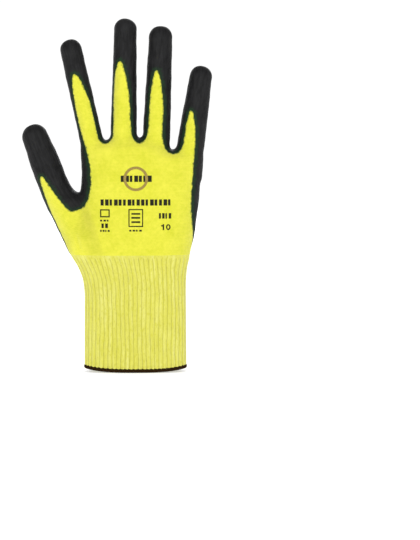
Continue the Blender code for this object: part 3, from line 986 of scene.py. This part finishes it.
def colour(red, green, blue):
    """A screen colour of 0 to 255 as the linear colour that a shader takes."""
    shares = [value / 255.0 for value in (red, green, blue)]
    return [s / 12.92 if s <= 0.04045 else ((s + 0.055) / 1.055) ** 2.4 for s in shares] + [1.0]


class Shader:
    """A material while its nodes are being made. Most calls return the socket to go on from."""

    def __init__(self, name, roughness, specular, sheen=0.0):
        self.material = bpy.data.materials.new(name)
        self.material.use_nodes = True
        self.tree = self.material.node_tree
        self.tree.nodes.clear()
        self.surface = self.node("BsdfPrincipled")
        self.node("OutputMaterial", self.surface.outputs["BSDF"])
        values = {"Roughness": roughness, "Specular IOR Level": specular, "Sheen Weight": sheen}
        for name, value in values.items():
            self.surface.inputs[name].default_value = value

    def feed(self, socket, value):
        if isinstance(value, bpy.types.NodeSocket):
            self.tree.links.new(value, socket)
        else:
            socket.default_value = value

    def node(self, kind, *values, **settings):
        """A new node with its settings, and with its first inputs fed with the values."""
        node = self.tree.nodes.new("ShaderNode" + kind)
        for name, setting in settings.items():
            setattr(node, name, setting)
        for socket, value in zip(node.inputs, values):
            self.feed(socket, value)
        return node

    def math(self, operation, *values, clamp=False):
        return self.node("Math", *values, operation=operation, use_clamp=clamp).outputs[0]

    def plus(self, value, factor, other):
        """Other, with value times factor added to it."""
        return self.math("MULTIPLY_ADD", value, factor, other)

    def mix(self, share, first, second):
        """Blends two colours, each a socket or a screen colour."""
        node = self.node("Mix", share, data_type="RGBA")
        sockets = [socket for socket in node.inputs if socket.type == "RGBA"]
        for socket, value in zip(sockets, (first, second)):
            self.feed(socket, colour(*value) if isinstance(value, tuple) else value)
        return [socket for socket in node.outputs if socket.type == "RGBA"][0]

    def ramp(self, value, low, high, to_low=0.0, to_high=1.0):
        node = self.node("MapRange", value, low, high, to_low, to_high,
                         interpolation_type="SMOOTHSTEP")
        return node.outputs[0]

    def attribute(self, name, output="Fac"):
        return self.node("Attribute", attribute_name=name).outputs[output]

    def place(self):
        return self.node("TexCoord").outputs["Object"]

    def axis(self, vector, name):
        return self.node("SeparateXYZ", vector).outputs[name]

    def along_knit(self, wale_factor, course_factor):
        """Wale and course numbers, scaled for streaks that follow the knit."""
        factors = (wale_factor, course_factor, 1.0)
        knit = self.attribute("knit", "Vector")
        return self.node("VectorMath", knit, factors, operation="MULTIPLY").outputs[0]

    def noise(self, scale, detail=2.0, roughness=0.5, vector=None):
        node = self.node("TexNoise", vector or self.place())
        node.inputs["Scale"].default_value = scale
        node.inputs["Detail"].default_value = detail
        node.inputs["Roughness"].default_value = roughness
        return node.outputs["Fac"]

    def bump(self, height, distance, strength):
        node = self.node("Bump", strength, distance)
        self.feed(node.inputs["Height"], height)
        return node.outputs["Normal"]

    def stitches(self):
        """Height of a plain knit, from 0 between stitches to 1 on them: two slanted legs a wale."""
        knit = self.attribute("knit", "Vector")
        wale = self.math("FRACT", self.axis(knit, "X"))
        side = self.math("ABSOLUTE", self.plus(wale, 2.0, -1.0))
        leg = self.ramp(self.math("PINGPONG", side, 0.5), 0.0, STITCH_LEG)
        slant = self.plus(side, STITCH_SLANT, self.axis(knit, "Y"))
        loop = self.math("COSINE", self.math("MULTIPLY", slant, 2.0 * math.pi))
        loop = self.plus(loop, STITCH_LOOP, 1.0 - STITCH_LOOP)
        return self.math("MULTIPLY", leg, loop)

    def finish(self, base, normal):
        self.feed(self.surface.inputs["Base Color"], base)
        self.feed(self.surface.inputs["Normal"], normal)
        return self.material


def knit_material(name, light, dark, ribbed):
    """Yarn that is lighter on its stitches and darker between them as painted shade, cloudy all over, and
    stained where the dip soaked in.
    """
    shader = Shader(name, roughness=0.9, specular=0.12, sheen=0.25)
    shader.surface.inputs["Sheen Roughness"].default_value = 0.6
    stitch = shader.stitches()
    fuzz = shader.noise(2600.0, 3.0, 0.7)
    cloud = shader.noise(70.0, 4.0, 0.65)
    mottle = shader.noise(420.0, 3.0, 0.6)
    height = shader.plus(fuzz, 0.55, stitch)
    # The stitches' height lightens the tone: painted shade between the stitches, over random cloudy tone
    tone = shader.plus(cloud, 0.7, shader.math("MULTIPLY", height, 0.4))
    tone = shader.plus(mottle, 0.6, tone)
    base = shader.mix(shader.ramp(tone, 0.45, 1.3), dark, light)
    if ribbed:
        streak = shader.noise(1.1, 3.0, 0.6, shader.along_knit(0.7, 0.03))
        fleck = shader.noise(1.0, 3.0, 0.7, shader.along_knit(1.3, 0.3))
        base = shader.mix(shader.ramp(streak, 0.42, 0.7, 0.0, 0.8), base, RIB_PALE)
        base = shader.mix(shader.ramp(fleck, 0.48, 0.66, 0.0, 0.9), base, RIB_DEEP)
        palm_side = shader.ramp(shader.axis(shader.place(), "Y"), -0.006, 0.008, 0.0, 0.8)
        base = shader.mix(palm_side, base, PALM_RIB)
        # Painted shade: the grooves between the ribs are darkened, broken up by the flecks
        groove_shade = shader.plus(fleck, 1.3, shader.attribute("rib"))
        base = shader.mix(shader.ramp(groove_shade, 1.25, 0.55, 0.0, 0.95), base, RIB_GROOVE_SHADE)
    soaked = shader.noise(620.0, 3.0, 0.6)
    depth = shader.plus(soaked, 2.4, shader.attribute("coat"))
    base = shader.mix(shader.ramp(depth, 0.2, 1.5, 0.0, 0.9), base, STAIN)
    return shader.finish(base, shader.bump(height, 0.00028, 0.8))


def coating_material():
    """Matt dip: the knit shows faintly through it, and its thin edge is dark green."""
    shader = Shader("black_dip", roughness=0.58, specular=0.16)
    stitch = shader.stitches()
    grain = shader.noise(1500.0, 3.0, 0.6)
    cloud = shader.noise(120.0, 3.0)
    coat = shader.attribute("coat")
    soaked = shader.plus(shader.noise(620.0, 4.0, 0.75), 10.0, coat)
    torn = shader.plus(shader.noise(900.0, 2.0), 1.6, coat)
    streak = shader.noise(1.0, 3.0, 0.65, shader.along_knit(0.8, 0.1))
    tone = shader.plus(streak, 1.3, shader.math("MULTIPLY", cloud, 0.5))
    base = shader.mix(shader.ramp(tone, 0.55, 1.25), DIP_DARK, DIP_LIGHT)
    # Painted shade: the dip is darkened where it lies in the grooves between the ribs
    groove = shader.ramp(shader.attribute("rib"), 0.75, 0.1, 0.0, 0.9)
    base = shader.mix(groove, base, DIP_GROOVE_SHADE)
    base = shader.mix(shader.ramp(soaked, 5.2, 8.4), DIP_EDGE, base)
    base = shader.mix(shader.ramp(torn, 0.5, 1.2), DIP_FUZZ, base)
    height = shader.plus(grain, 0.5, shader.math("MULTIPLY", stitch, 0.45))
    rough = shader.ramp(grain, 0.3, 0.7, 0.5, 0.66)
    shader.feed(shader.surface.inputs["Roughness"], rough)
    return shader.finish(base, shader.bump(height, 0.00018, 0.7))


def thread_material(name, light, dark, roughness):
    """Twisted thread: painted highlight on its strands and painted shade between them, with fibres across
    them.
    """
    shader = Shader(name, roughness=roughness, specular=0.05)
    strand = shader.attribute("rib")
    fibre = shader.noise(2400.0, 2.0, 0.6)
    # The strand height paints highlight on the strands and shade between them; the fibre noise is random
    # tone
    tone = shader.math("MULTIPLY", shader.ramp(strand, 0.1, 1.0),
                       shader.plus(fibre, 0.9, 0.35), clamp=True)
    base = shader.mix(tone, dark, light)
    return shader.finish(base, shader.bump(fibre, 0.00012, 0.7))


def ink_material(name, light, dark):
    """Screen print that the knit breaks up."""
    shader = Shader(name, roughness=0.75, specular=0.2)
    grain = shader.noise(1700.0, 3.0, 0.7)
    base = shader.mix(shader.ramp(grain, 0.35, 0.75), dark, light)
    return shader.finish(base, shader.bump(grain, 0.0001, 0.6))


# Assembly

def place_on(obj, material, body, stands_for=()):
    obj.data.materials.append(material)
    if body is not None:
        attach(obj, body)
    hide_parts(*stands_for)


def bend_at_knuckle(obj, limb, part):
    """Bends a piece of a stall round the knuckle below it."""
    index = limb.parts.index(part)
    knuckle = limb.knuckles[index]
    body = limb.name + "_" + part
    if index == 0:
        parent = "hand"
        start = THUMB_BEND_START if limb.name == "thumb" else LIMB_CUTS[limb.name]
        reach = (limb.knuckles[1] - knuckle) / 2.0
    else:
        parent = limb.name + "_" + limb.parts[index - 1]
        reach = (knuckle - limb.knuckles[index - 1]) / 2.0
        if index + 1 < len(limb.parts):
            reach = min(reach, (limb.knuckles[index + 1] - knuckle) / 2.0)
        start = knuckle - min(reach, BEND_REACH)
    end = knuckle + min(reach, BEND_REACH)
    points = [Vector((limb.root + limb.along * station) * MM) for station in (start, end)]
    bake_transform(obj, parent, body, start=points[0], end=points[1])


def make_glove():
    yellow = knit_material("bright_knit", KNIT_LIGHT, KNIT_DARK, ribbed=False)
    pale = knit_material("rib_knit", RIB_LIGHT, RIB_DARK, ribbed=True)
    black = coating_material()
    glove = Glove()
    table, faces = ribbed_surface()

    hand = make_shell("hand_knit", glove.knit_sheet("hand"))
    place_on(hand, yellow, "hand", ["palm_liner"])
    dip = make_shell("hand_dip", glove.dip_sheet("hand"), cuff_dip_sheet(table, faces))
    place_on(dip, black, "hand", ["palm_coating"])
    cuff = make_shell("ribbed_cuff", cuff_sheet(table, faces))
    place_on(cuff, pale, "hand", ["cuff"])
    for limb in LIMBS:
        for part in limb.parts:
            name = limb.name + "_" + part
            knit = make_shell(name + "_knit", glove.knit_sheet(name))
            place_on(knit, yellow, None, [name + "_stall"])
            bend_at_knuckle(knit, limb, part)
            dip = make_shell(name + "_dip", glove.dip_sheet(name))
            place_on(dip, black, None, [name + "_coating"])
            bend_at_knuckle(dip, limb, part)

    brown = thread_material("brown_thread", HEM_LIGHT, HEM_DARK, 0.8)
    place_on(make_hem(), brown, "hand", ["cuff_hem"])
    off_white = thread_material("covered_elastic", ELASTIC_LIGHT, ELASTIC_DARK, 0.7)
    place_on(make_elastic(), off_white, "hand", ["cuff_elastic"])

    ink = ink_material("print_ink", INK_LIGHT, INK_DARK)
    place_on(make_shell("back_print", print_sheet(print_marks(), INK)), ink, "hand")
    tan = ink_material("print_tan", TAN_LIGHT, TAN_DARK)
    emblem = print_sheet([ring(*EMBLEM_RING)], RING_INK)
    place_on(make_shell("back_print_ring", emblem), tan, "hand")


# Stage, light and camera

def add_aimed(name, data, place, target):
    """An object for a light or a camera, turned to its target."""
    obj = add_object(name, data)
    obj.location = place
    obj.rotation_euler = (Vector(target) - Vector(place)).to_track_quat("-Z", "Y").to_euler()
    return obj


def make_stage():
    corners = np.array([(-1, -1, 0), (1, -1, 0), (1, 1, 0), (-1, 1, 0)]) * FLOOR_REACH / MM
    floor = make_object("floor", corners, [[0, 1, 2, 3]])
    shader = Shader("pale_floor", roughness=0.9, specular=0.0)
    shader.surface.inputs["Base Color"].default_value = (FLOOR_TONE,) * 3 + (1.0,)
    shader.surface.inputs["Emission Color"].default_value = (1.0, 1.0, 1.0, 1.0)
    shader.surface.inputs["Emission Strength"].default_value = FLOOR_GLOW
    floor.data.materials.append(shader.material)
    floor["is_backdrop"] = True
    world = bpy.data.worlds.new("studio")
    world.use_nodes = True
    background = world.node_tree.nodes["Background"]
    background.inputs["Color"].default_value = (1.0, 1.0, 1.0, 1.0)
    seen = world.node_tree.nodes.new("ShaderNodeLightPath").outputs["Is Camera Ray"]
    strength = world.node_tree.nodes.new("ShaderNodeMapRange")
    strength.inputs["To Min"].default_value = WORLD_LIGHT
    strength.inputs["To Max"].default_value = BACKDROP_LIGHT
    world.node_tree.links.new(seen, strength.inputs["Value"])
    world.node_tree.links.new(strength.outputs["Result"], background.inputs["Strength"])
    bpy.context.scene.world = world
    for name, place, size, power in LIGHTS:
        light = bpy.data.lights.new(name, "AREA")
        light.shape = "DISK"
        light.size = size
        light.energy = power
        add_aimed(name, light, place, LIGHT_TARGET)


def make_camera():
    """The camera stands in front of the glove and looks past it, as the photo's frame does."""
    low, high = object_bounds()
    centre = (low + high) / 2.0
    elevation = math.radians(CAMERA_ELEVATION)
    place = centre + CAMERA_DISTANCE * Vector((0.0, -math.cos(elevation), math.sin(elevation)))
    camera = bpy.data.cameras.new("camera")
    camera.lens = camera.sensor_width * CAMERA_DISTANCE / FRAME_HEIGHT
    bpy.context.scene.camera = add_aimed("camera", camera, place, FRAME_CENTRE)


make_glove()
make_stage()
make_camera()
bpy.context.scene.view_settings.view_transform = "Standard"
